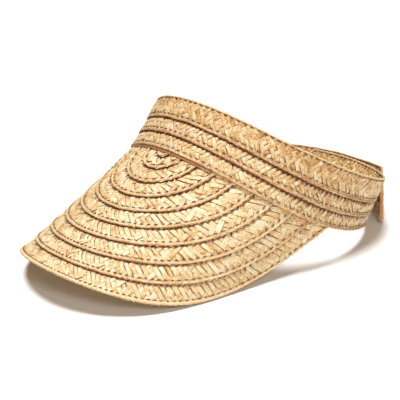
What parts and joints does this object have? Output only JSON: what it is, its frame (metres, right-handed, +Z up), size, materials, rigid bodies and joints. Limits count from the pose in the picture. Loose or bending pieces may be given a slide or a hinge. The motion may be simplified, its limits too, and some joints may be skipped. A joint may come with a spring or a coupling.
{
  "type": "sun visor",
  "caption": "Braided straw sun visor: wide curled brim of concentric braid rows, open-crown head band and an overlapping closure tab at the back.",
  "frame": {"origin": "middle of the footprint on the surface the visor rests on", "axes": "+Z up, front of the brim towards -Y, the wearer's left towards +X, resting on the brim's sides and the band's back edge"},
  "size_m": [0.1722, 0.303, 0.11],
  "materials": {
    "straw_braid": "satin",
    "thread": "matte",
    "fastener_tape": "matte",
    "sweatband": "matte",
    "binding": "satin"
  },
  "bodies": {
    "visor": {"brim_row_0": "straw_braid", "brim_row_1": "straw_braid", "brim_row_2": "straw_braid", "brim_row_3": "straw_braid", "brim_row_4": "straw_braid", "brim_row_5": "straw_braid", "brim_row_6": "straw_braid", "brim_row_7": "straw_braid", "brim_row_8": "straw_braid", "brim_row_9": "straw_braid", "brim_edge_facing": "straw_braid", "brim_stitching": "thread", "band_row_top": "straw_braid", "band_row_middle": "straw_braid", "band_row_bottom": "straw_braid", "band_stitching": "thread", "brim_seam_stitching": "thread", "inner_end_binding": "binding", "loop_tape": "fastener_tape", "sweatband": "sweatband", "sweatband_stitching": "thread"},
    "closure_tab": {"tab_row_top": "straw_braid", "tab_row_middle": "straw_braid", "tab_row_bottom": "straw_braid", "tab_stitching": "thread", "tab_end_binding": "binding", "hook_tape": "fastener_tape"}
  },
  "joints": [
    {"name": "closure_tab_peel", "type": "hinge", "parent": "visor", "child": "closure_tab", "pos_m": [-0.05073, 0.12785, 0.01743], "axis": [0.0422, 0.478, 0.8774], "range_deg": [0, 60]}
  ]
}
